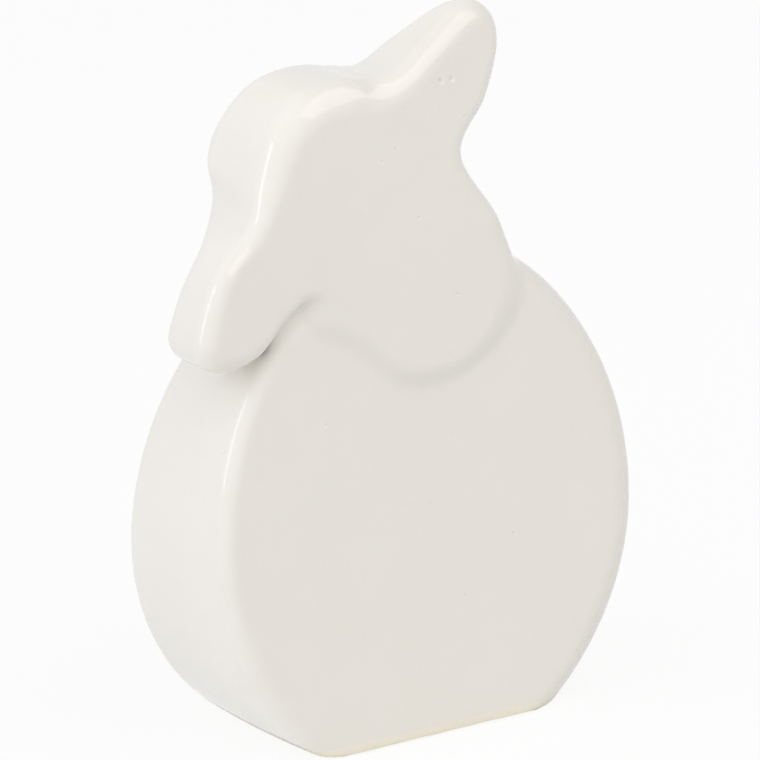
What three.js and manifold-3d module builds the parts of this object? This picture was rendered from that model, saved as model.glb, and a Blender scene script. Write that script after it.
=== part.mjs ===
// Ceramic lamb figurine in millimetres, +Z up: hollow castings that are joined with slip.
// X runs across the figure with the muzzle towards -X, the front face looks towards -Y,
// and the origin lies on the table under the middle of the foot.
import * as THREE from 'three';
import Module from 'manifold-3d';
import { mergeVertices } from 'three/addons/utils/BufferGeometryUtils.js';
import { TessellateModifier } from 'three/addons/modifiers/TessellateModifier.js';

const wasm = await Module();
wasm.setup();

// Body: an egg outline, cut flat at the foot and thinner towards its crown
const bodyHalfWidth = 52.2;
const footHalfWidth = 29.6;
const waistHeight = 45.2;
const reachAboveWaist = 58.8;
const footDepth = 47.8;
const bodyTaper = 0.235;
const bodyEdgeRadius = 3.2;
const bodyWall = 6;
const cavityRadius = 3;

// Crown spigot: the body's top, stepped back so that the head sits over it
const crownInHead = 29.4;
const spigotStep = 2.5;
const spigotRadius = 3.5;
const crownVentRadius = 4;

// Head: its round ends and landmarks, with heights from the bottom of the cheek
// The throat and the chin are given by how far they lie inside the body's edge
const headRelief = 2;
const headTaper = 0.17;
const headEdgeRadius = 5;
const cheek = { x: 2.5, z: 22.9, radius: 23.4 };
const forehead = { x: -20.5, z: 49.8, radius: 16.3 };
const muzzleTip = { x: -46.4, z: 15.8, radius: 6.4 };
const earTip = { x: 20.2, z: 68.8, radius: 7.1 };
const throat = { insideBody: 1, z: 21.2 };
const jaw = { besideThroat: 2.4, belowThroat: 5.6 };
const chin = { insideBody: 1.4, z: 10.2 };
const brow = { x: -37.3, z: 40.4 };
const bridge = { x: -47.8, z: 30.2 };
const crestDip = { x: -2.5, z: 63.9 };
const earBack = { x: 22.4, z: 55.8 };
const nape = { x: 12.8, z: 46.4 };
const neckSide = { x: 22, z: 30.6 };

// The head grows thinner past the ear root on both faces, and is set back behind the muzzle
const earThinning = 0.2;
const muzzleSetback = 11;
const muzzleBlendStart = -6;
const muzzleBlend = 16;

// Hollow inside the head
const chamber = { x: -9, z: 39, halfWidth: 17, halfHeight: 20 };
const headWall = 5;

// Foot: a plate set into the opening of the body, with a firing vent
const footRim = 7.8;
const footOpeningRadius = 6;
const plateThickness = 5;
const footVentRadius = 4;

// Slip seams, and the clearance that every piece keeps to its neighbour
const slipThickness = 1;
const slipBead = 1.4;
const slipRecess = 0.5;
const clearance = 0.3;

// Fineness of the facets
const eggSteps = 18;
const headSteps = 66;
const roundSteps = 6;
const filletSteps = 3;
const headFacetLength = 9;
const splitRounds = 12;

// Most of an end's radius, or of a thin face's depth, that a fillet may take up
const filletShare = 0.85;

const bodyTop = waistHeight + reachAboveWaist;
const reachBelowWaist = waistHeight / Math.sqrt(1 - (footHalfWidth / bodyHalfWidth) ** 2);
const headSeat = bodyTop - crownInHead;
const headFillet = Math.min(headEdgeRadius, filletShare * muzzleTip.radius, filletShare * earTip.radius);
const largeBlock = 4 * (bodyTop + bodyHalfWidth);

// Half of the body's depth at a height
function bodyHalfDepth(z) {
  return (footDepth - bodyTaper * z) / 2;
}

// Half of the body's width at a height above its waist
function bodyHalfWidthAt(z) {
  return bodyHalfWidth * Math.sqrt(1 - ((z - waistHeight) / reachAboveWaist) ** 2);
}

// A head landmark in the figure's own frame
function onHead(point) {
  return new THREE.Vector2(point.x, point.z + headSeat);
}

// A head landmark that lies inside the body's edge, on the muzzle's side
function insideBody(point) {
  const z = point.z + headSeat;
  return new THREE.Vector2(point.insideBody - bodyHalfWidthAt(z), z);
}

const throatPoint = insideBody(throat);
const jawPoint = throatPoint.clone().add(new THREE.Vector2(jaw.besideThroat, -jaw.belowThroat));

// How far a point lies past the line from one landmark to another, on the line's left
function distancePast(from, to, x, z) {
  const along = to.clone().sub(from).normalize();
  return along.x * (z - from.y) - along.y * (x - from.x);
}

function headHalfDepth(x, z) {
  const atSeat = bodyHalfDepth(headSeat) + headRelief;
  const pastEarRoot = -distancePast(onHead(nape), onHead(crestDip), x, z);
  const thinned = earThinning * Math.max(0, pastEarRoot);
  return atSeat - (headTaper / 2) * (z - headSeat) - thinned;
}

function headHalfDepthBehind(x, z) {
  const pastBrow = -distancePast(onHead(brow), throatPoint, x, z);
  const share = THREE.MathUtils.smoothstep(pastBrow, muzzleBlendStart, muzzleBlendStart + muzzleBlend);
  return headHalfDepth(x, z) - muzzleSetback * share;
}

const bodyFaces = { front: (x, z) => bodyHalfDepth(z), back: (x, z) => bodyHalfDepth(z), curved: false };
const headFaces = { front: headHalfDepth, back: headHalfDepthBehind, curved: true };

// Points on the round end of a landmark, from one angle to another in degrees
function roundEnd(landmark, startAngle, endAngle, count) {
  const centre = onHead(landmark);
  return Array.from({ length: count }, (unused, i) => {
    const angle = THREE.MathUtils.degToRad(startAngle + ((endAngle - startAngle) * i) / (count - 1));
    return new THREE.Vector2(Math.cos(angle), Math.sin(angle)).multiplyScalar(landmark.radius).add(centre);
  });
}

function eggShape() {
  const egg = new THREE.Shape();
  egg.absellipse(0, waistHeight, bodyHalfWidth, reachAboveWaist, 0, Math.PI);
  egg.absellipse(0, waistHeight, bodyHalfWidth, reachBelowWaist, Math.PI, 2 * Math.PI);
  return egg;
}

function headShape() {
  const landmarks = [
    throatPoint,
    jawPoint,
    ...roundEnd(cheek, -145, -10, 5),
    onHead(neckSide),
    onHead(nape),
    onHead(earBack),
    ...roundEnd(earTip, -20, 115, 4),
    onHead(crestDip),
    ...roundEnd(forehead, 75, 185, 4),
    onHead(brow),
    onHead(bridge),
    ...roundEnd(muzzleTip, 150, 275, 4),
    insideBody(chin),
  ];
  const points = landmarks.map((point) => new THREE.Vector3(point.x, point.y, 0));
  const curve = new THREE.CatmullRomCurve3(points, true, 'centripetal');
  const spaced = curve.getSpacedPoints(headSteps).slice(1);
  return new THREE.Shape(spaced.map((point) => new THREE.Vector2(point.x, point.y)));
}

// A closed geometry as a solid that can be joined and cut
function solid(geometry) {
  geometry.deleteAttribute('normal');
  geometry.deleteAttribute('uv');
  const merged = mergeVertices(geometry);
  return new wasm.Manifold(new wasm.Mesh({
    numProp: 3,
    vertProperties: new Float32Array(merged.getAttribute('position').array),
    triVerts: new Uint32Array(merged.getIndex().array),
  }));
}

// A slab with an upright outline and rounded edges: inset moves all of its surface inwards
function slab(shape, faces, inset, radius) {
  const coreDepth = 1;
  const geometry = new THREE.ExtrudeGeometry(shape, {
    depth: coreDepth,
    curveSegments: eggSteps,
    bevelThickness: radius,
    bevelSize: radius,
    bevelOffset: -inset - radius,
    bevelSegments: filletSteps,
  });
  const splitter = new TessellateModifier(headFacetLength, splitRounds);
  const fine = faces.curved ? splitter.modify(geometry) : geometry;
  const position = fine.getAttribute('position');
  for (let i = 0; i < position.count; i += 1) {
    const x = position.getX(i);
    const z = position.getY(i);
    const fromMiddle = position.getZ(i) - coreDepth / 2;
    const face = (fromMiddle > 0 ? faces.front(x, z) : faces.back(x, z)) - inset;
    const underFace = coreDepth / 2 + radius - Math.abs(fromMiddle);
    const fromAxis = face - underFace * Math.min(1, (filletShare * face) / radius);
    position.setXYZ(i, x, fromMiddle > 0 ? -fromAxis : fromAxis, z);
  }
  return solid(fine);
}

// A large block with one flat face through a point, on the side that a direction in XZ points to
function blockBeyond(point, direction) {
  const block = new THREE.BoxGeometry(largeBlock, largeBlock, largeBlock);
  block.translate(0, 0, largeBlock / 2);
  block.rotateY(Math.atan2(direction.x, direction.y));
  block.translate(point.x, 0, point.y);
  return solid(block);
}

// An upright round hole between two heights, beside the figure's axis
function uprightHole(radius, x, bottom, top) {
  const hole = new THREE.CylinderGeometry(radius, radius, top - bottom, 4 * roundSteps);
  hole.rotateX(Math.PI / 2);
  hole.translate(x, 0, (top + bottom) / 2);
  return solid(hole);
}

// A rectangle with round corners, as drawn on the table
function roundedRectangle(Kind, halfWidth, halfDepth, radius) {
  const outline = new Kind();
  outline.moveTo(halfWidth, radius - halfDepth);
  outline.absarc(halfWidth - radius, halfDepth - radius, radius, 0, Math.PI / 2);
  outline.absarc(radius - halfWidth, halfDepth - radius, radius, Math.PI / 2, Math.PI);
  outline.absarc(radius - halfWidth, radius - halfDepth, radius, Math.PI, 1.5 * Math.PI);
  outline.absarc(halfWidth - radius, radius - halfDepth, radius, 1.5 * Math.PI, 2 * Math.PI);
  return outline;
}

// The foot opening's outline, drawn in from its edge
function footOutline(Kind, inset) {
  const halfDepth = bodyHalfDepth(0) - bodyWall;
  const radius = footOpeningRadius - inset;
  return roundedRectangle(Kind, footHalfWidth - footRim - inset, halfDepth - inset, radius);
}

// An upright block over an outline on the table, between two heights
function uprightBlock(shape, bottom, top) {
  const block = new THREE.ExtrudeGeometry(shape, {
    depth: top - bottom,
    curveSegments: roundSteps,
    bevelEnabled: false,
  });
  block.translate(0, 0, bottom);
  return solid(block);
}

const egg = eggShape();
const head = headShape();
const earRoot = onHead(crestDip).add(onHead(nape)).multiplyScalar(0.5);
const earAcross = onHead(nape).sub(onHead(crestDip)).normalize();
const earDirection = new THREE.Vector2(-earAcross.y, earAcross.x);

function beyondEarRoot(offset) {
  return blockBeyond(earRoot.clone().addScaledVector(earDirection, offset), earDirection);
}

const underTable = blockBeyond(new THREE.Vector2(0, 0), new THREE.Vector2(0, -1));
const bodyForm = slab(egg, bodyFaces, 0, bodyEdgeRadius).subtract(underTable);
const headForm = slab(head, headFaces, 0, headFillet);

// The head with its surface moved out, for clearances and for the bead around it
function headGrown(amount) {
  return slab(head, headFaces, -amount, headFillet + amount);
}

function bodyGrown(amount) {
  return slab(egg, bodyFaces, -amount, bodyEdgeRadius + amount);
}

function bodyShell() {
  const spigot = slab(egg, bodyFaces, spigotStep, spigotRadius).subtract(underTable);
  const cavity = slab(egg, bodyFaces, bodyWall, cavityRadius);
  const vent = uprightHole(crownVentRadius, chamber.x, waistHeight, bodyTop);
  const opening = uprightBlock(footOutline(THREE.Shape, 0), -reachBelowWaist, waistHeight);
  const outside = bodyForm.subtract(headGrown(clearance)).add(spigot);
  return outside.subtract(cavity).subtract(vent).subtract(opening);
}

function headShell() {
  const socket = slab(egg, bodyFaces, spigotStep - clearance, spigotRadius + clearance);
  const hollow = new THREE.Shape();
  hollow.absellipse(chamber.x, chamber.z + headSeat, chamber.halfWidth, chamber.halfHeight, 0, 2 * Math.PI);
  const inside = slab(hollow, headFaces, headWall, cavityRadius);
  const root = beyondEarRoot(-slipThickness / 2 - clearance);
  return headForm.subtract(root).subtract(socket).subtract(inside);
}

function ear() {
  return headForm.intersect(beyondEarRoot(slipThickness / 2 + clearance));
}

function earSlipSeam() {
  return headForm.intersect(beyondEarRoot(-slipThickness / 2)).subtract(beyondEarRoot(slipThickness / 2));
}

function neckSlipSeam() {
  const corner = headGrown(slipBead).intersect(bodyGrown(slipBead));
  return corner.subtract(headGrown(clearance)).subtract(bodyGrown(clearance));
}

function footPlate() {
  const outline = footOutline(THREE.Shape, slipThickness + 2 * clearance);
  const vent = new THREE.Path();
  vent.absarc(0, 0, footVentRadius, 0, 2 * Math.PI);
  outline.holes.push(vent);
  return uprightBlock(outline, 0, plateThickness);
}

function footSlipSeam() {
  const outline = footOutline(THREE.Shape, clearance);
  outline.holes.push(footOutline(THREE.Path, clearance + slipThickness));
  return uprightBlock(outline, slipRecess, plateThickness);
}

const glaze = { color: 0xe4e1da, roughness: 0.18, metalness: 0 };
const bareClay = { color: 0xd8cbb0, roughness: 0.85, metalness: 0 };

// A named mesh of a solid, in its own material
function piece(name, shape, finish) {
  const mesh = shape.getMesh();
  const geometry = new THREE.BufferGeometry();
  geometry.setAttribute('position', new THREE.BufferAttribute(mesh.vertProperties, 3));
  geometry.setIndex(new THREE.BufferAttribute(mesh.triVerts, 1));
  geometry.computeVertexNormals();
  const result = new THREE.Mesh(geometry, new THREE.MeshStandardMaterial(finish));
  result.name = name;
  return result;
}

const lamb = new THREE.Group();
lamb.add(piece('body_shell', bodyShell(), glaze));
lamb.add(piece('head_shell', headShell(), glaze));
lamb.add(piece('ear', ear(), glaze));
lamb.add(piece('neck_slip_seam', neckSlipSeam(), glaze));
lamb.add(piece('ear_slip_seam', earSlipSeam(), glaze));
lamb.add(piece('foot_plate', footPlate(), bareClay));
lamb.add(piece('foot_slip_seam', footSlipSeam(), bareClay));

export default lamb;
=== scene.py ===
import math

import bmesh
import bpy
import numpy as np
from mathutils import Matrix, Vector


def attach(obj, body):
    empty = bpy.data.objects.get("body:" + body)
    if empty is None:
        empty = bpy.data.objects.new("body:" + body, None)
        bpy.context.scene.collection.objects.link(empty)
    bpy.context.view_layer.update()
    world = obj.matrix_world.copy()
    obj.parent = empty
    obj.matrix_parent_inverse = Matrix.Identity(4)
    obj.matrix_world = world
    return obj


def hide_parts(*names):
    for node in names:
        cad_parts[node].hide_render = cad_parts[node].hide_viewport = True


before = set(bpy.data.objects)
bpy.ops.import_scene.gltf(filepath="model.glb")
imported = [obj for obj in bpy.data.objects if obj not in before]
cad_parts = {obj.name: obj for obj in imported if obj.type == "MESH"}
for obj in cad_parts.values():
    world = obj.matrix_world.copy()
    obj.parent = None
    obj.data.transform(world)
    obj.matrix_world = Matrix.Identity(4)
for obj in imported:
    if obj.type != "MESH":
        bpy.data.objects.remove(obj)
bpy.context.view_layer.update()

# The glazed skin is one smooth form: an egg-shaped slab and a slab with the head's outline,
# both with rounded edges, that run together in a soft crease. The form is a distance in
# millimetres, negative inside. A remeshed block is drawn onto it, cut where the castings and
# seams meet, and each part is closed with an inner wall. The origin is under the foot's middle,
# -X is the muzzle's side and -Y the front. Left and right are as seen from the front.
MM = 0.001

# Body. Towards the right its front edge is softer and its outline wider.
BODY_HALF_WIDTH = 52.2
FOOT_HALF_WIDTH = 29.6
WAIST_HEIGHT = 45.2
REACH_ABOVE_WAIST = 58.8
FOOT_DEPTH = 47.8
BODY_TAPER = 0.235
BODY_EDGE_RADIUS = 3.2
FOOT_SOFTENING = 1.0
FOOT_EDGE_RADIUS = 0.7
WALL_BULGE = 0.9
RIGHT_SOFTENING = 4.5
RIGHT_BLEND = (0.0, 45.0)
RIGHT_REACH = 2.1

# Head, with its landmarks in the figure's own frame. Where the front and back outlines differ,
# the landmark is given for both, the front first.
HEAD_SEAT = 74.6
HEAD_RELIEF = 2.0
MUZZLE_RELIEF = 2.0
HEAD_TAPER = 0.17
BACK_EDGE_RADIUS = 4.0
CHEEK = (2.2, 97.5, 22.6)
FOREHEAD = [(-16.3, 139.9), (-25.7, 138.2), (-33.0, 132.0), (-37.4, 122.2)]
MUZZLE_TIPS = [(-50.2, 92.0, 6.4), (-48.9, 91.3, 6.4)]
EAR_TIP = (21.3, 143.1, 6.9)
THROATS = [(-27.6, 95.8), (-26.6, 94.7)]
JAWS = [(-25.2, 90.0), (-24.2, 89.2)]
CHINS = [(-41.3, 87.6), (-39.3, 86.4)]
BROWS = [(-41.8, 113.4), (-37.0, 114.6)]
BRIDGES = [(-51.0, 105.6), (-50.1, 105.0)]
EAR_EDGES = [(6.4, 144.6), (7.2, 142.6)]
CREST_DIPS = [(-7.6, 139.0), (-0.6, 137.5)]
CRESTS = [(-12.5, 139.8), (-8.0, 138.7)]
EAR_BACK = (21.8, 130.4)
NAPE = (12.9, 121.4)
NECK_SIDE = (21.6, 105.6)
EAR_THINNING = (0.3, 0.2)
MUZZLE_SETBACK = 15.9
MUZZLE_BLEND = (-8.0, 18.0)
RELIEF_BLEND = (4.0, 20.0)
THROAT_DIP = (-19.5, 87.0, 8.0, 0.8)

# Radii at landmarks: the head's front edge in the open, its edge in relief on the body, and the
# crease between the two
FRONT_EDGE_RADII = [(-31, 133, 8.0), (-36, 114, 2.4), (-49, 96, 4.5), (-2, 138, 6.0), (18, 140, 4.0),
                    (20, 112, 4.5)]
RELIEF_EDGE_RADII = [(-34, 88, 6.5), (-15, 82, 4.5), (5, 75, 4.5), (26, 97, 8.0)]
CREASE_RADII = [(-34, 88, 1.6), (-15, 82, 1.6), (5, 75, 1.6), (26, 97, 3.6)]
CREASE_END_RADIUS = 2.6
CREASE_END_BLEND = (1.0, 10.0)
OVER_BODY_BLEND = (-6.0, 6.0)
LANDMARK_REACH = 20.0

# Seams: how far they reach on each side
NECK_SEAM_ON_BODY = 3.0
NECK_SEAM_ON_HEAD = 1.2
EAR_SEAM_HALF = 0.5

# Foot opening and the inner wall
OPENING_HALF_WIDTH = 22.2
OPENING_HALF_DEPTH = 17.9
OPENING_RADIUS = 6.0
OPENING_TOP = 0.5
WALL = 4.0
INNER_RADIUS = 1.2

# Unevenness of the hand-finished surface
WAVE_HEIGHT = 0.05

# Two craters in the glaze of the ear and the pinholes, each with its width and depth
CRATERS = [((7.6, -10.0, 136.9), 0.6, 0.5), ((10.8, -9.4, 136.7), 0.55, 0.45)]
PINHOLES = [
    (-5.9, -12.8, 125.2), (-9.3, -13.0, 123.1), (-0.8, -14.1, 110.0), (8.0, -15.6, 92.5),
    (12.9, -11.1, 128.7), (20.0, -19.3, 39.1), (-51.2, -9.0, 56.7), (-48.2, -12.4, 67.8),
    (6.8, -20.6, 28.3), (2.8, -16.7, 61.0), (-25.2, -15.7, 70.2),
]
PINHOLE_WIDTH, PINHOLE_DEPTH = 0.26, 0.24
CRATERS += [(place, PINHOLE_WIDTH, PINHOLE_DEPTH) for place in PINHOLES]

# Fineness of the outlines, of the grid that holds their distances, and of the mesh
SPAN_STEPS = 60
LOOP_STEPS = 900
GRID = 0.5
GRID_LOW = (-64.0, -20.0)
GRID_HIGH = (64.0, 166.0)
GRID_BATCHES = 60
BLOCK_STRIDE = 8
COARSE_VOXEL = 1.6
FINE_VOXEL = 0.8
LEAST_SQUARED_SLOPE = 0.2
SPLIT_TOLERANCE = 0.02
CRATER_REACH = 3
CRATER_CUTS = 3

# Glaze: tints, and the sizes of its clouds, specks, dull patches and ripples
GLAZE_TINTS = [(0.80, 0.775, 0.72, 1), (0.835, 0.815, 0.77, 1)]
GLAZE_SPECK_TINT = (0.74, 0.71, 0.65, 1)
GLAZE_ROUGHNESS = (0.03, 0.06)
GLAZE_IOR = 1.5
CLOUD_SIZE = 22.0
GLAZE_SPECK_SIZE = 1.6
DULL_PATCH_SIZE = 9.0
RIPPLE_SIZES = (3.0, 0.5)
RIPPLE_HEIGHT = 0.05

# Bare clay: the ragged edge just above the floor, and the foot plate
BARE_EDGE = (1.4, 3.6)
EDGE_RAGGEDNESS = 0.9
EDGE_RAG_SIZE = 2.5
EDGE_TINTS = [(0.83, 0.77, 0.63, 1), (0.88, 0.84, 0.73, 1)]
EDGE_GRAIN_SIZE = 0.8
EDGE_DULLNESS = 0.7
PLATE_TINTS = [(0.58, 0.48, 0.33, 1), (0.72, 0.63, 0.47, 1)]
PLATE_SPECK_TINT = (0.42, 0.32, 0.2, 1)
PLATE_ROUGHNESS = (0.72, 0.9)
PLATE_CLOUD_SIZE = 6.0
PLATE_SPECK_SIZE = 0.7
PLATE_DULL_PATCH_SIZE = 3.0
PLATE_GRAIN_SIZE = 0.6
PLATE_GRAIN_HEIGHT = 0.15

# Camera, as in the photo
CAMERA_TURN = math.radians(-34.96)
CAMERA_RISE = math.radians(17.46)
CAMERA_AIM = (-1.9, -1.7, 72.1)
CAMERA_DISTANCE = 1500.0
CAMERA_FAR = 20000.0
CAMERA_LENS = 341.0
CAMERA_SENSOR = 36.0

# Sky, which is brighter on one side, and floor
SKY_COLOUR = (1.0, 0.99, 0.98, 1)
SKY_LEVEL = 0.65
SKY_LEAN = (-0.58, -0.18, 0.0)
FLOOR_HALF = 3000.0
FLOOR_DROP = 0.1
FLOOR_TINT = (0.9, 0.9, 0.9, 1)
FLOOR_ROUGHNESS = 0.9
FLOOR_WHITE = 0.9

# Lamps that face the figure: name, direction, width and height, power in watts, and colour
LAMP_AIM = (0.0, 0.0, 80.0)
LAMP_DISTANCE = 1000.0
LAMPS = [
    ("top_box", (0.30, -0.38, 0.87), (950.0, 800.0), 3.5, (1.0, 0.985, 0.95)),
    ("left_box", (-0.92, 0.08, 0.38), (220.0, 600.0), 1.1, (0.93, 1.0, 1.15)),
]


def smooth_loop(points, steps):
    """A closed curve through the points, drawn with evenly spaced steps."""
    p1 = np.asarray(points, float)
    p0, p2, p3 = np.roll(p1, 1, 0), np.roll(p1, -1, 0), np.roll(p1, -2, 0)
    t0, t1, t2 = (np.sqrt(np.linalg.norm(b - a, axis=1))[:, None]
                  for a, b in ((p0, p1), (p1, p2), (p2, p3)))
    m1 = t1 * ((p1 - p0) / t0 - (p2 - p0) / (t0 + t1) + (p2 - p1) / t1)
    m2 = t1 * ((p2 - p1) / t1 - (p3 - p1) / (t1 + t2) + (p3 - p2) / t2)
    s = np.linspace(0, 1, SPAN_STEPS, endpoint=False)[None, :, None]
    a, b, c, d = p1[:, None], m1[:, None], p2[:, None], m2[:, None]
    curve = (a * (2 * s**3 - 3 * s**2 + 1) + b * (s**3 - 2 * s**2 + s)
             + c * (3 * s**2 - 2 * s**3) + d * (s**3 - s**2)).reshape(-1, 2)
    along = np.r_[0, np.cumsum(np.linalg.norm(np.diff(np.r_[curve, curve[:1]], axis=0), axis=1))]
    closed = np.r_[curve, curve[:1]]
    at = np.linspace(0, along[-1], steps, endpoint=False)
    return np.stack([np.interp(at, along, closed[:, i]) for i in (0, 1)], 1)


def round_end(landmark, start, end, count):
    """Points on the round end of a landmark, from one angle to another in degrees."""
    x, z, radius = landmark
    angles = np.radians(np.linspace(start, end, count))
    return [(x + radius * math.cos(a), z + radius * math.sin(a)) for a in angles]


def egg_loop():
    """The body's outline: half ellipses above and below the waist, wider on the right."""
    below = WAIST_HEIGHT / math.sqrt(1 - (FOOT_HALF_WIDTH / BODY_HALF_WIDTH) ** 2)
    t = np.linspace(0, 2 * math.pi, LOOP_STEPS, endpoint=False)
    reach = np.where(np.sin(t) > 0, REACH_ABOVE_WAIST, below)
    half_width = np.where(np.cos(t) > 0, BODY_HALF_WIDTH + RIGHT_REACH, BODY_HALF_WIDTH)
    return np.stack([half_width * np.cos(t), WAIST_HEIGHT + reach * np.sin(t)], 1)


def head_loop(side):
    """The head's outline on the front, side 0, or on the back, side 1."""
    points = [THROATS[side], JAWS[side], *round_end(CHEEK, -145, -10, 5), NECK_SIDE, NAPE, EAR_BACK,
              *round_end(EAR_TIP, -20, 115, 4), EAR_EDGES[side], CREST_DIPS[side], CRESTS[side],
              *FOREHEAD, BROWS[side], BRIDGES[side], *round_end(MUZZLE_TIPS[side], 150, 275, 4),
              CHINS[side]]
    return smooth_loop(points, LOOP_STEPS)


class Outline:
    """The distance from a closed XZ outline, negative inside, kept on a grid."""

    def __init__(self, loop):
        self.low = np.array(GRID_LOW)
        xs, zs = (np.arange(low, high, GRID) for low, high in zip(GRID_LOW, GRID_HIGH))
        points = np.stack(np.meshgrid(xs, zs, indexing="ij"), -1).reshape(-1, 2)
        start, step = loop, np.roll(loop, -1, 0) - loop
        square = (step**2).sum(1)
        found = []
        for part in np.array_split(points, GRID_BATCHES):
            rel = part[:, None] - start[None]
            t = np.clip((rel * step).sum(2) / square, 0, 1)
            nearest = np.sqrt(((rel - t[..., None] * step) ** 2).sum(2).min(1))
            z0, z1 = rel[..., 1], rel[..., 1] - step[:, 1]
            across = rel[..., 0] - step[:, 0] * z0 / np.where(step[:, 1] == 0, 1e-9, step[:, 1])
            inside = (((z0 < 0) != (z1 < 0)) & (across < 0)).sum(1) % 2 == 1
            found.append(np.where(inside, -nearest, nearest))
        self.values = np.concatenate(found).reshape(len(xs), len(zs))

    def __call__(self, x, z):
        u = np.clip((x - self.low[0]) / GRID, 0, self.values.shape[0] - 1.001)
        v = np.clip((z - self.low[1]) / GRID, 0, self.values.shape[1] - 1.001)
        i, j = u.astype(int), v.astype(int)
        u, v, g = u - i, v - j, self.values
        return ((g[i, j] * (1 - u) + g[i + 1, j] * u) * (1 - v)
                + (g[i, j + 1] * (1 - u) + g[i + 1, j + 1] * u) * v)


EGG_LOOP, FRONT_LOOP, BACK_LOOP = egg_loop(), head_loop(0), head_loop(1)
EGG, HEAD_FRONT, HEAD_BACK = Outline(EGG_LOOP), Outline(FRONT_LOOP), Outline(BACK_LOOP)


def smoothstep(value, low, high):
    t = np.clip((value - low) / (high - low), 0, 1)
    return t * t * (3 - 2 * t)


def past_line(start, end, x, z):
    """How far a point lies to the right of the line from start to end."""
    dx, dz = end[0] - start[0], end[1] - start[1]
    return (dz * (x - start[0]) - dx * (z - start[1])) / math.hypot(dx, dz)


def rounded(a, b, radius):
    """Inside both a and b, with the edge between them rounded."""
    u, v = a + radius, b + radius
    return np.minimum(np.maximum(u, v), 0) + np.hypot(np.maximum(u, 0), np.maximum(v, 0)) - radius


def filleted(a, b, radius):
    """Inside a or b, with the corner between them filled."""
    return -rounded(-a, -b, radius)


def body_half_depth(z):
    return (FOOT_DEPTH - BODY_TAPER * z) / 2


def past_ear_root(x, z):
    return past_line(NAPE, CREST_DIPS[1], x, z)


def on_muzzle(x, z, blend):
    """0 on the cheek and 1 on the muzzle."""
    return smoothstep(past_line(BROWS[1], THROATS[1], x, z), *blend)


def head_relief(x, z):
    """How far the head's front stands out from the body's."""
    return HEAD_RELIEF + MUZZLE_RELIEF * on_muzzle(x, z, RELIEF_BLEND)


def head_depths(x, z):
    """How far the head reaches to the front and to the back."""
    depth = body_half_depth(HEAD_SEAT) - HEAD_TAPER / 2 * (z - HEAD_SEAT)
    on_ear = np.logaddexp(0, past_ear_root(x, z) / 2) * 2
    dip_x, dip_z, reach, deep = THROAT_DIP
    dip = deep * np.exp(-((x - dip_x) ** 2 + (z - dip_z) ** 2) / (2 * reach**2))
    front = depth + head_relief(x, z) - EAR_THINNING[0] * on_ear - dip
    back = depth + HEAD_RELIEF - EAR_THINNING[1] * on_ear
    return front, back - MUZZLE_SETBACK * on_muzzle(x, z, MUZZLE_BLEND)


def blended(landmarks, x, z):
    """A radius, blended between landmarks."""
    total, share = 0.0, 1e-30
    for at_x, at_z, radius in landmarks:
        weight = np.exp(-((x - at_x) ** 2 + (z - at_z) ** 2) / LANDMARK_REACH**2)
        total, share = total + weight * radius, share + weight
    return total / share


def body(p, inset=0.0):
    """The body's distance, with its faces moved in by the inset."""
    x, y, z = p.T
    low = smoothstep(-z, -WAIST_HEIGHT, 0)
    right = np.where(y < 0, RIGHT_SOFTENING, 0) * smoothstep(x, *RIGHT_BLEND)
    radius = np.maximum(BODY_EDGE_RADIUS + FOOT_SOFTENING * low + right - inset, INNER_RADIUS)
    depth = body_half_depth(z)
    bulge = WALL_BULGE * low * np.maximum(1 - (y / depth) ** 2, 0)
    return rounded(EGG(x, z) - bulge + inset, np.abs(y) - depth + inset, radius)


def head(p, inset=0.0):
    """The head's distance, with its faces moved in by the inset."""
    x, y, z = p.T
    over_body = smoothstep(-EGG(x, z), *OVER_BODY_BLEND)
    front, back = head_depths(x, z)
    past_front, past_back = -y - front, y - back
    radius = np.where(past_back > past_front, BACK_EDGE_RADIUS, blended(FRONT_EDGE_RADII, x, z))
    radius = radius + (blended(RELIEF_EDGE_RADII, x, z) - radius) * over_body
    spread = radius - np.sqrt(radius**2 - (radius - head_relief(x, z)) ** 2)
    to_front = np.clip(0.5 + (past_front - past_back) / (2 * (front + back)), 0, 1)
    edge = HEAD_BACK(x, z) * (1 - to_front) + HEAD_FRONT(x, z) * to_front - spread * over_body
    radius = np.maximum(radius - inset, INNER_RADIUS)
    return rounded(edge + inset, np.maximum(past_front, past_back) + inset, radius)


def waves(p):
    """Slow unevenness of the surface, between about -1 and 1."""
    x, y, z = p.T
    return (np.sin(0.21 * x + 0.13 * z + 1.1) * np.sin(0.17 * z - 0.11 * y)
            + 0.6 * np.sin(0.43 * z - 0.31 * x + 0.35 * y) + 0.4 * np.sin(0.71 * x + 0.66 * z)) / 2


def form(p, inset=0.0):
    """The whole figure's distance, with its faces moved in by the inset."""
    x, z = p[:, 0], p[:, 2]
    ends = 1 - smoothstep(-EGG(x, z), *CREASE_END_BLEND)
    crease = blended(CREASE_RADII, x, z)
    crease = crease + (CREASE_END_RADIUS - crease) * ends
    both = filleted(body(p, inset), head(p, inset), crease)
    return rounded(both + WAVE_HEIGHT * waves(p), inset - z, FOOT_EDGE_RADIUS)


def slope(p, inset=0.0):
    """The form's gradient."""
    steps = np.eye(3) * GRID
    return np.stack([form(p + s, inset) - form(p - s, inset) for s in steps], 1) / (2 * GRID)


def onto_form(p, inset=0.0, rounds=8):
    """The points, moved onto the form's surface."""
    for _ in range(rounds):
        g = slope(p, inset)
        p = p - (form(p, inset) / np.maximum((g**2).sum(1), LEAST_SQUARED_SLOPE))[:, None] * g
    return p


def unit(v):
    return v / np.maximum(np.linalg.norm(v, axis=1, keepdims=True), 1e-9)


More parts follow.
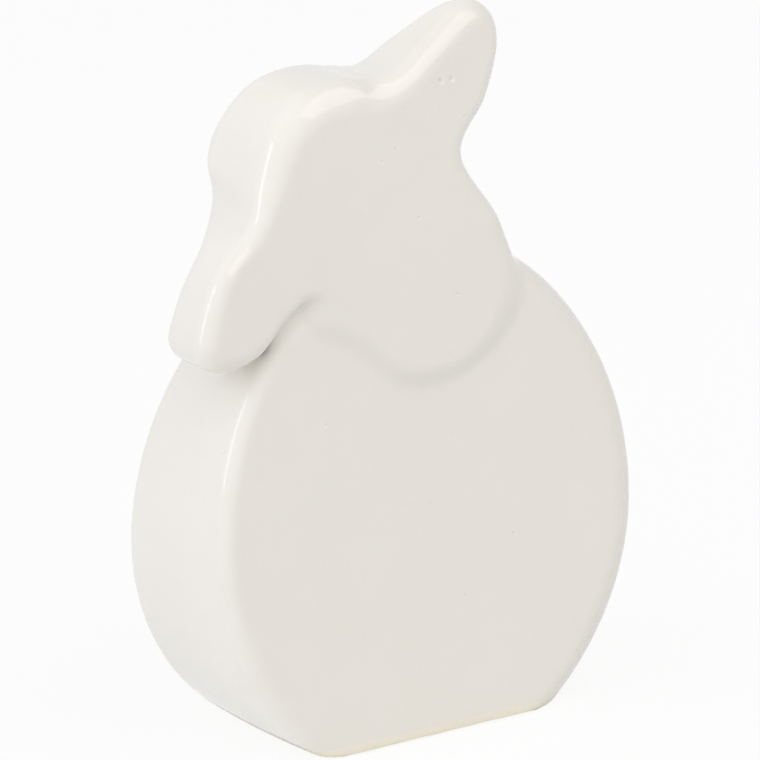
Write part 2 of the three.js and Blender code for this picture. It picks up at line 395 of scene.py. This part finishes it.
def crater_shift(p):
    """How deep the craters reach at each point, and that depth's gradient."""
    depth, lean = np.zeros(len(p)), np.zeros_like(p)
    for centre, width, deep in CRATERS:
        away = p - np.asarray(centre)
        d = deep * np.exp(-(away**2).sum(1) / width**2)
        depth += d
        lean -= (2 * d / width**2)[:, None] * away
    return depth, lean


def prism(bm, loop, front, back):
    """A closed block over an XZ loop, with its own depth at each point."""
    rows = [[bm.verts.new((x * MM, y * MM, z * MM)) for (x, z), y in zip(loop, depths)]
            for depths in (front, back)]
    bm.faces.new(rows[0])
    bm.faces.new(rows[1][::-1])
    for i in range(len(loop)):
        a, b = rows[0][i - 1], rows[0][i]
        c, d = rows[1][i], rows[1][i - 1]
        bm.faces.new((b, a, d, c))


def remeshed(mesh, voxel):
    """The mesh made anew from voxels of this size."""
    thing = bpy.data.objects.new("remesh_source", mesh)
    bpy.context.scene.collection.objects.link(thing)
    modifier = thing.modifiers.new("Remesh", "REMESH")
    modifier.mode = "VOXEL"
    modifier.voxel_size = voxel * MM
    graph = bpy.context.evaluated_depsgraph_get()
    made = bpy.data.meshes.new_from_object(thing.evaluated_get(graph))
    bpy.data.objects.remove(thing)
    return made


def points_of(mesh):
    flat = np.empty(len(mesh.vertices) * 3)
    mesh.vertices.foreach_get("co", flat)
    return flat.reshape(-1, 3) / MM


def draw_onto_form(mesh):
    mesh.vertices.foreach_set("co", (onto_form(points_of(mesh)) * MM).ravel())
    mesh.update()
    return mesh


def start_block():
    """Plain blocks in the places of body and head."""
    bm = bmesh.new()
    egg = EGG_LOOP[::BLOCK_STRIDE]
    egg = egg[egg[:, 1] > 0]
    depth = body_half_depth(egg[:, 1])
    prism(bm, egg, -depth, depth)
    loop = BACK_LOOP[::BLOCK_STRIDE]
    x, z = loop.T
    front, back = head_depths(x, z)
    prism(bm, loop, -front, back)
    bmesh.ops.recalc_face_normals(bm, faces=bm.faces)
    mesh = bpy.data.meshes.new("start_block")
    bm.to_mesh(mesh)
    bm.free()
    return mesh


def opening_edge(p):
    """Distance from the foot opening's outline, negative inside it on the underside."""
    x, y, z = p.T
    u = np.abs(x) - OPENING_HALF_WIDTH + OPENING_RADIUS
    v = np.abs(y) - OPENING_HALF_DEPTH + OPENING_RADIUS
    past_corner = np.hypot(np.maximum(u, 0), np.maximum(v, 0))
    edge = past_corner + np.minimum(np.maximum(u, v), 0) - OPENING_RADIUS
    return np.maximum(edge, z - OPENING_TOP)


CUTS = [
    lambda p: head(p) - body(p),
    lambda p: head(p) - NECK_SEAM_ON_BODY,
    lambda p: body(p) - NECK_SEAM_ON_HEAD,
    lambda p: past_ear_root(p[:, 0], p[:, 2]) - EAR_SEAM_HALF,
    lambda p: past_ear_root(p[:, 0], p[:, 2]) + EAR_SEAM_HALF,
    opening_edge,
]


def split_along(bm, field):
    """Splits the faces where the field crosses zero."""
    points = np.array([v.co for v in bm.verts]) / MM
    values = field(points)
    values[np.abs(values) < SPLIT_TOLERANCE] = SPLIT_TOLERANCE
    bm.verts.index_update()
    added = []
    for edge in list(bm.edges):
        a, b = edge.verts
        s, t = values[a.index], values[b.index]
        if (s < 0) != (t < 0):
            added.append(bmesh.utils.edge_split(edge, a, s / (s - t))[1])
    bmesh.ops.connect_verts(bm, verts=added)
    bm.verts.ensure_lookup_table()


def skin():
    """The outer skin: its points, their normals, its faces and the faces' middles."""
    mesh = draw_onto_form(remeshed(start_block(), COARSE_VOXEL))
    mesh = draw_onto_form(remeshed(mesh, FINE_VOXEL))
    bm = bmesh.new()
    bm.from_mesh(mesh)
    middles = np.array([f.calc_center_median() for f in bm.faces]) / MM
    near = np.zeros(len(middles), bool)
    for centre, width, _ in CRATERS:
        near |= np.linalg.norm(middles - centre, axis=1) < CRATER_REACH * width
    # A dict, not a set, so that the edges have the same order in each run
    edges = {e: True for f, chosen in zip(bm.faces, near) if chosen for e in f.edges}
    bmesh.ops.subdivide_edges(bm, edges=list(edges), cuts=CRATER_CUTS, use_grid_fill=True)
    for field in CUTS:
        split_along(bm, field)
    bm.verts.index_update()
    points = onto_form(np.array([v.co for v in bm.verts]) / MM, rounds=4)
    normals = unit(slope(points))
    depth, lean = crater_shift(points)
    faces = [[v.index for v in f.verts] for f in bm.faces]
    bm.free()
    middles = np.array([points[f].mean(0) for f in faces])
    return points - depth[:, None] * normals, unit(normals + lean), faces, middles


def piece_of(name, points, normals, faces):
    """A closed piece: these faces of the skin, the same faces on the inner wall, and the rim."""
    used = np.unique(np.concatenate(faces))
    place = {old: new for new, old in enumerate(used)}
    outer = [[place[i] for i in f] for f in faces]
    count = len(used)
    inner = onto_form(points[used], WALL)
    edges = {}
    for f in outer:
        for a, b in zip(f, f[1:] + f[:1]):
            edges[(a, b)] = True
    rim = [(b, a, a + count, b + count) for a, b in edges if (b, a) not in edges]
    wall = [[i + count for i in f[::-1]] for f in outer]
    mesh = bpy.data.meshes.new(name)
    mesh.from_pydata(np.r_[points[used], inner] * MM, [], outer + wall + rim)
    mesh.shade_smooth()
    sharp = {frozenset(side) for r in rim for side in (r[:2], r[2:])}
    for edge in mesh.edges:
        edge.use_edge_sharp = frozenset(edge.vertices) in sharp
    custom = np.zeros((len(mesh.loops), 3))
    outer_loops = sum(len(f) for f in outer)
    custom[:outer_loops] = normals[used][np.concatenate(outer)]
    mesh.normals_split_custom_set(custom)
    made = bpy.data.objects.new(name, mesh)
    bpy.context.scene.collection.objects.link(made)
    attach(made, "root")
    return made


class Nodes:
    """Adds nodes to a material's tree and links them."""

    def __init__(self, name):
        self.material = bpy.data.materials.new(name)
        self.material.use_nodes = True
        self.tree = self.material.node_tree
        self.shader = self.tree.nodes["Principled BSDF"]
        self.place = self.add("ShaderNodeTexCoord").outputs["Object"]

    def put(self, socket, value):
        """Links a socket to another one, or sets its value."""
        if isinstance(value, bpy.types.NodeSocket):
            self.tree.links.new(value, socket)
        else:
            socket.default_value = value

    def add(self, kind, inputs=None, **settings):
        node = self.tree.nodes.new(kind)
        for key, value in settings.items():
            setattr(node, key, value)
        for key, value in (inputs or {}).items():
            self.put(node.inputs[key], value)
        return node

    def noise(self, size, detail=2.0, roughness=0.5):
        inputs = {"Vector": self.place, "Scale": 1 / (size * MM), "Detail": detail, "Roughness": roughness}
        return self.add("ShaderNodeTexNoise", inputs).outputs["Fac"]

    def math(self, operation, *values, clamp=False):
        inputs = dict(enumerate(values))
        return self.add("ShaderNodeMath", inputs, operation=operation, use_clamp=clamp).outputs[0]

    def ramp(self, value, low, high, to_low=0.0, to_high=1.0):
        inputs = {"Value": value, "From Min": low, "From Max": high, "To Min": to_low, "To Max": to_high}
        return self.add("ShaderNodeMapRange", inputs, interpolation_type="SMOOTHSTEP").outputs[0]

    def mix(self, share, a, b):
        node = self.add("ShaderNodeMix", data_type="RGBA")
        for key, value in {"Factor": share, "A": a, "B": b}.items():
            self.put([s for s in node.inputs if s.name == key and s.enabled][0], value)
        return [s for s in node.outputs if s.enabled][0]

    def set(self, **inputs):
        for key, value in inputs.items():
            self.put(self.shader.inputs[key.replace("_", " ")], value)


def glaze_material():
    n = Nodes("white_glaze")
    height = n.add("ShaderNodeSeparateXYZ", {"Vector": n.place}).outputs["Z"]
    ragged = n.math("MULTIPLY_ADD", n.noise(EDGE_RAG_SIZE, 3.0), EDGE_RAGGEDNESS * MM, height)
    bare = n.ramp(ragged, BARE_EDGE[0] * MM, BARE_EDGE[1] * MM, 1.0, 0.0)
    cloud = n.mix(n.noise(CLOUD_SIZE, 3.0), *GLAZE_TINTS)
    specks = n.ramp(n.noise(GLAZE_SPECK_SIZE, 2.0), 0.62, 0.8, 0.0, 0.2)
    glaze = n.mix(specks, cloud, GLAZE_SPECK_TINT)
    clay = n.mix(n.noise(EDGE_GRAIN_SIZE, 4.0), *EDGE_TINTS)
    rough = n.ramp(n.noise(DULL_PATCH_SIZE, 3.0), 0.3, 0.7, *GLAZE_ROUGHNESS)
    slow, quick = (n.noise(size, 2.0) for size in RIPPLE_SIZES)
    ripple = n.math("MULTIPLY_ADD", slow, 0.3, quick)
    bump = n.add("ShaderNodeBump", {"Strength": 0.3, "Distance": RIPPLE_HEIGHT * MM, "Height": ripple})
    n.set(Base_Color=n.mix(bare, glaze, clay), Normal=bump.outputs[0], IOR=GLAZE_IOR)
    n.set(Roughness=n.math("MULTIPLY_ADD", bare, EDGE_DULLNESS, rough))
    return n.material


def clay_material():
    n = Nodes("bare_clay")
    cloud = n.mix(n.noise(PLATE_CLOUD_SIZE, 4.0), *PLATE_TINTS)
    specks = n.ramp(n.noise(PLATE_SPECK_SIZE, 2.0), 0.66, 0.76, 0.0, 0.5)
    grain = n.noise(PLATE_GRAIN_SIZE, 4.0)
    bump = n.add("ShaderNodeBump", {"Strength": 0.4, "Distance": PLATE_GRAIN_HEIGHT * MM, "Height": grain})
    n.set(Base_Color=n.mix(specks, cloud, PLATE_SPECK_TINT), Normal=bump.outputs[0])
    n.set(Roughness=n.ramp(n.noise(PLATE_DULL_PATCH_SIZE), 0.2, 0.8, *PLATE_ROUGHNESS))
    return n.material


def seen_white(tree, lit, white, share):
    """Mixes in white where the camera looks, straight or by way of a mirror or a glass."""
    path = tree.nodes.new("ShaderNodeLightPath")
    total = path.outputs["Is Camera Ray"]
    for kind in ("Is Glossy Ray", "Is Transmission Ray"):
        both = tree.nodes.new("ShaderNodeMath")
        both.operation = "MAXIMUM"
        tree.links.new(total, both.inputs[0])
        tree.links.new(path.outputs[kind], both.inputs[1])
        total = both.outputs[0]
    seen = tree.nodes.new("ShaderNodeMath")
    seen.operation = "MULTIPLY"
    seen.inputs[1].default_value = share
    tree.links.new(total, seen.inputs[0])
    mixer = tree.nodes.new("ShaderNodeMixShader")
    tree.links.new(seen.outputs[0], mixer.inputs[0])
    tree.links.new(lit, mixer.inputs[1])
    tree.links.new(white, mixer.inputs[2])
    return mixer.outputs[0]


def floor_and_world():
    bm = bmesh.new()
    bmesh.ops.create_grid(bm, x_segments=1, y_segments=1, size=FLOOR_HALF * MM)
    mesh = bpy.data.meshes.new("floor")
    bm.to_mesh(mesh)
    bm.free()
    floor = bpy.data.objects.new("floor", mesh)
    floor.location.z = -FLOOR_DROP * MM
    bpy.context.scene.collection.objects.link(floor)
    material = bpy.data.materials.new("floor")
    material.use_nodes = True
    tree = material.node_tree
    shader = tree.nodes["Principled BSDF"]
    shader.inputs["Base Color"].default_value = FLOOR_TINT
    shader.inputs["Roughness"].default_value = FLOOR_ROUGHNESS
    white = tree.nodes.new("ShaderNodeEmission")
    mixed = seen_white(tree, shader.outputs[0], white.outputs[0], FLOOR_WHITE)
    tree.links.new(mixed, tree.nodes["Material Output"].inputs["Surface"])
    mesh.materials.append(material)

    world = bpy.data.worlds.new("studio")
    bpy.context.scene.world = world
    world.use_nodes = True
    tree = world.node_tree
    light = tree.nodes["Background"]
    light.inputs["Color"].default_value = SKY_COLOUR
    facing = tree.nodes.new("ShaderNodeVectorMath")
    facing.operation = "DOT_PRODUCT"
    facing.inputs[1].default_value = SKY_LEAN
    tree.links.new(tree.nodes.new("ShaderNodeTexCoord").outputs["Generated"], facing.inputs[0])
    level = tree.nodes.new("ShaderNodeMath")
    level.inputs[1].default_value = SKY_LEVEL
    tree.links.new(facing.outputs["Value"], level.inputs[0])
    tree.links.new(level.outputs[0], light.inputs["Strength"])
    backdrop = tree.nodes.new("ShaderNodeBackground")
    backdrop.inputs["Color"].default_value = (1, 1, 1, 1)
    mixed = seen_white(tree, light.outputs[0], backdrop.outputs[0], 1.0)
    tree.links.new(mixed, tree.nodes["World Output"].inputs["Surface"])


def lamp(name, towards, size, power, colour):
    """An area lamp that faces the object from a direction."""
    data = bpy.data.lights.new(name, "AREA")
    data.shape = "RECTANGLE"
    data.size, data.size_y = (side * MM for side in size)
    data.energy = power
    data.color = colour
    made = bpy.data.objects.new(name, data)
    bpy.context.scene.collection.objects.link(made)
    away = Vector(towards).normalized()
    made.location = (Vector(LAMP_AIM) + away * LAMP_DISTANCE) * MM
    made.rotation_mode = "QUATERNION"
    made.rotation_quaternion = away.to_track_quat("Z", "Y")


def camera():
    data = bpy.data.cameras.new("camera")
    data.sensor_width = CAMERA_SENSOR
    data.lens = CAMERA_LENS
    data.clip_end = CAMERA_FAR * MM
    made = bpy.data.objects.new("camera", data)
    bpy.context.scene.collection.objects.link(made)
    level = math.cos(CAMERA_RISE)
    back = Vector((math.sin(CAMERA_TURN) * level, -math.cos(CAMERA_TURN) * level, math.sin(CAMERA_RISE)))
    made.location = (Vector(CAMERA_AIM) + back * CAMERA_DISTANCE) * MM
    made.rotation_mode = "QUATERNION"
    made.rotation_quaternion = back.to_track_quat("Z", "Y")
    bpy.context.scene.camera = made


points, normals, faces, middles = skin()
on_body = head(middles) > NECK_SEAM_ON_BODY
on_neck = ~on_body & (body(middles) < NECK_SEAM_ON_HEAD)
on_head = ~on_body & ~on_neck
past_root = past_ear_root(middles[:, 0], middles[:, 2])
opened = opening_edge(middles) < 0
# The pieces: name, faces of the skin, and the solid that it replaces
REGIONS = [
    ("glazed_body", on_body & ~opened, "body_shell"),
    ("glazed_neck_seam", on_neck, "neck_slip_seam"),
    ("glazed_head", on_head & (past_root < -EAR_SEAM_HALF), "head_shell"),
    ("glazed_ear_seam", on_head & (np.abs(past_root) < EAR_SEAM_HALF), "ear_slip_seam"),
    ("glazed_ear", on_head & (past_root > EAR_SEAM_HALF), "ear"),
]
white_glaze, bare_clay = glaze_material(), clay_material()
for name, chosen, node in REGIONS:
    piece = piece_of(name, points, normals, [faces[i] for i in np.nonzero(chosen)[0]])
    piece.data.materials.append(white_glaze)
    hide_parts(node)
for node in ("foot_plate", "foot_slip_seam"):
    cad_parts[node].data.materials.clear()
    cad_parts[node].data.materials.append(bare_clay)

floor_and_world()
for settings in LAMPS:
    lamp(*settings)
camera()
bpy.context.scene.view_settings.view_transform = "Standard"
